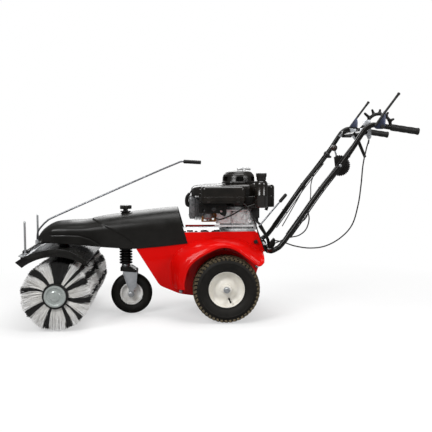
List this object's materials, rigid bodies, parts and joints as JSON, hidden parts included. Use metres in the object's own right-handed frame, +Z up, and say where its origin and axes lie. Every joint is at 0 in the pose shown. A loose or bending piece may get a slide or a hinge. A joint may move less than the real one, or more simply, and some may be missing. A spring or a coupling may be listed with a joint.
{
  "type": "walk behind sweeper",
  "caption": "Walk-behind power sweeper: wide front roller brush under a guard, petrol engine, two drive wheels, front caster and a tall two-tube handlebar.",
  "frame": {"origin": "middle of the overall box on the floor, between the brush's front and the grips' ends", "axes": "+X from the brush (front) to the handlebar (rear), +Y to the operator's right, +Z up"},
  "size_m": [1.9091, 0.82, 1.1144],
  "materials": {
    "red_paint": "gloss",
    "black_plastic": "satin",
    "black_paint": "satin",
    "zinc": "zinc plated",
    "cast_aluminium": "cast",
    "tyre_rubber": "matte",
    "cream_paint": "satin",
    "white_bristle": "matte",
    "black_bristle": "matte",
    "grip_rubber": "matte",
    "belt_rubber": "matte",
    "dark_steel": "satin",
    "blue_steel": "satin",
    "cable_sheath": "satin"
  },
  "bodies": {
    "chassis": {"main_frame": "black_paint", "pivot_housing": "black_paint", "caster_housing": "black_paint", "hood": "black_plastic", "body_side_left": "red_paint", "body_side_right": "red_paint", "deck_plate": "zinc", "rear_panel": "red_paint", "drive_gearbox": "cast_aluminium", "drive_belt": "belt_rubber", "handle_bracket": "black_paint", "bellows": "belt_rubber", "crankcase": "cast_aluminium", "cylinder_head": "cast_aluminium", "rocker_cover": "cast_aluminium", "blower_shroud": "black_plastic", "recoil_housing": "black_plastic", "air_filter_cover": "black_plastic", "carburettor": "cast_aluminium", "muffler": "dark_steel", "fuel_tank": "black_plastic", "throttle_cable": "cable_sheath"},
    "crank": {"engine_pulley": "dark_steel"},
    "brush_input": {"brush_pulley": "dark_steel"},
    "head": {"brush_gearbox": "black_paint", "brush_guard": "black_paint", "attachment_rail": "zinc", "swivel_rod": "zinc", "swivel_grip": "grip_rubber"},
    "brush": {"brush_shaft": "zinc", "bristles_black_left": "black_bristle", "bristles_black_right": "black_bristle", "bristles_white_left": "white_bristle", "bristles_white_right": "white_bristle"},
    "knob": {"height_knob": "black_plastic"},
    "lift": {"caster_stem": "zinc"},
    "swivel": {"caster_fork": "zinc"},
    "caster": {"caster_tyre": "tyre_rubber", "caster_rim": "cream_paint"},
    "wheel_left": {"wheel_tyre_left": "tyre_rubber", "wheel_rim_left": "cream_paint"},
    "wheel_right": {"wheel_tyre_right": "tyre_rubber", "wheel_rim_right": "cream_paint"},
    "cap": {"fuel_cap": "black_plastic"},
    "starter": {"starter_grip": "black_plastic"},
    "handle": {"handle_tube_left": "black_paint", "handle_tube_right": "black_paint", "handle_base_bar": "black_paint", "handle_crossbar": "zinc", "grip_left": "grip_rubber", "grip_right": "grip_rubber", "speed_quadrant": "black_paint", "long_cable": "cable_sheath", "loop_cable": "cable_sheath"},
    "clutch_left": {"clutch_lever_left": "blue_steel"},
    "clutch_right": {"clutch_lever_right": "blue_steel"},
    "speed": {"speed_lever": "zinc"},
    "release": {"release_lever": "zinc"}
  },
  "joints": [
    {"name": "head_swivel", "type": "hinge", "parent": "chassis", "child": "head", "pos_m": [-0.8002, 0, 0.3608], "axis": [0, 0, 1], "range_deg": [-15, 15]},
    {"name": "brush_spin", "type": "hinge", "parent": "head", "child": "brush", "pos_m": [-0.7802, 0, 0.168], "axis": [0, 1, 0], "continuous": true},
    {"name": "brush_input_turn", "type": "hinge", "parent": "chassis", "child": "brush_input", "pos_m": [-0.8002, 0, 0.417], "axis": [0, 0, 1], "continuous": true},
    {"name": "crank_turn", "type": "hinge", "parent": "chassis", "child": "crank", "pos_m": [0.0978, 0, 0.417], "axis": [0, 0, 1], "continuous": true},
    {"name": "caster_lift", "type": "slide", "parent": "chassis", "child": "lift", "axis": [0, 0, 1], "range_m": [-0.03, 0.02], "deforming": ["bellows"]},
    {"name": "height_turn", "type": "hinge", "parent": "chassis", "child": "knob", "pos_m": [-0.4832, 0, 0.561], "axis": [0, 0, 1], "range_deg": [-2160, 1440]},
    {"name": "caster_swivel", "type": "hinge", "parent": "lift", "child": "swivel", "pos_m": [-0.4832, 0, 0.247], "axis": [0, 0, 1], "range_deg": [-120, 120]},
    {"name": "caster_spin", "type": "hinge", "parent": "swivel", "child": "caster", "pos_m": [-0.4552, 0, 0.106], "axis": [0, 1, 0], "continuous": true},
    {"name": "wheel_spin_left", "type": "hinge", "parent": "chassis", "child": "wheel_left", "pos_m": [0.0198, -0.215, 0.165], "axis": [0, 1, 0], "continuous": true},
    {"name": "wheel_spin_right", "type": "hinge", "parent": "chassis", "child": "wheel_right", "pos_m": [0.0198, 0.215, 0.165], "axis": [0, 1, 0], "continuous": true},
    {"name": "cap_turn", "type": "hinge", "parent": "chassis", "child": "cap", "pos_m": [0.1978, -0.151, 0.692], "axis": [0, 0, 1], "range_deg": [0, 90]},
    {"name": "starter_pull", "type": "slide", "parent": "chassis", "child": "starter", "axis": [0.7071, 0, 0.7071], "range_m": [0, 0.45], "stiffness_N_per_m": 20, "springref_m": -0.3},
    {"name": "handle_tilt", "type": "hinge", "parent": "chassis", "child": "handle", "pos_m": [0.2358, 0, 0.347], "axis": [0, 1, 0], "range_deg": [-8, 12]},
    {"name": "clutch_turn_left", "type": "hinge", "parent": "handle", "child": "clutch_left", "pos_m": [0.7678, -0.245, 0.952], "axis": [0, 1, 0], "range_deg": [0, 48], "stiffness_Nm_per_rad": 1, "springref_deg": -22.92},
    {"name": "clutch_turn_right", "type": "hinge", "parent": "handle", "child": "clutch_right", "pos_m": [0.7678, 0.245, 0.952], "axis": [0, 1, 0], "range_deg": [0, 48], "stiffness_Nm_per_rad": 1, "springref_deg": -22.92},
    {"name": "speed_turn", "type": "hinge", "parent": "handle", "child": "speed", "pos_m": [0.5768, -0.245, 0.765], "axis": [0, 1, 0], "range_deg": [-40, 25]},
    {"name": "release_turn", "type": "hinge", "parent": "chassis", "child": "release", "pos_m": [0.2358, -0.15, 0.347], "axis": [0, 1, 0], "range_deg": [0, 18], "stiffness_Nm_per_rad": 3, "springref_deg": -17.19}
  ],
  "couplings": [
    {"joint": "brush_input_turn", "follows": "brush_spin", "ratio": 5},
    {"joint": "crank_turn", "follows": "brush_spin", "ratio": 7.619},
    {"joint": "height_turn", "follows": "caster_lift", "rad_per_m": 1256.6}
  ]
}
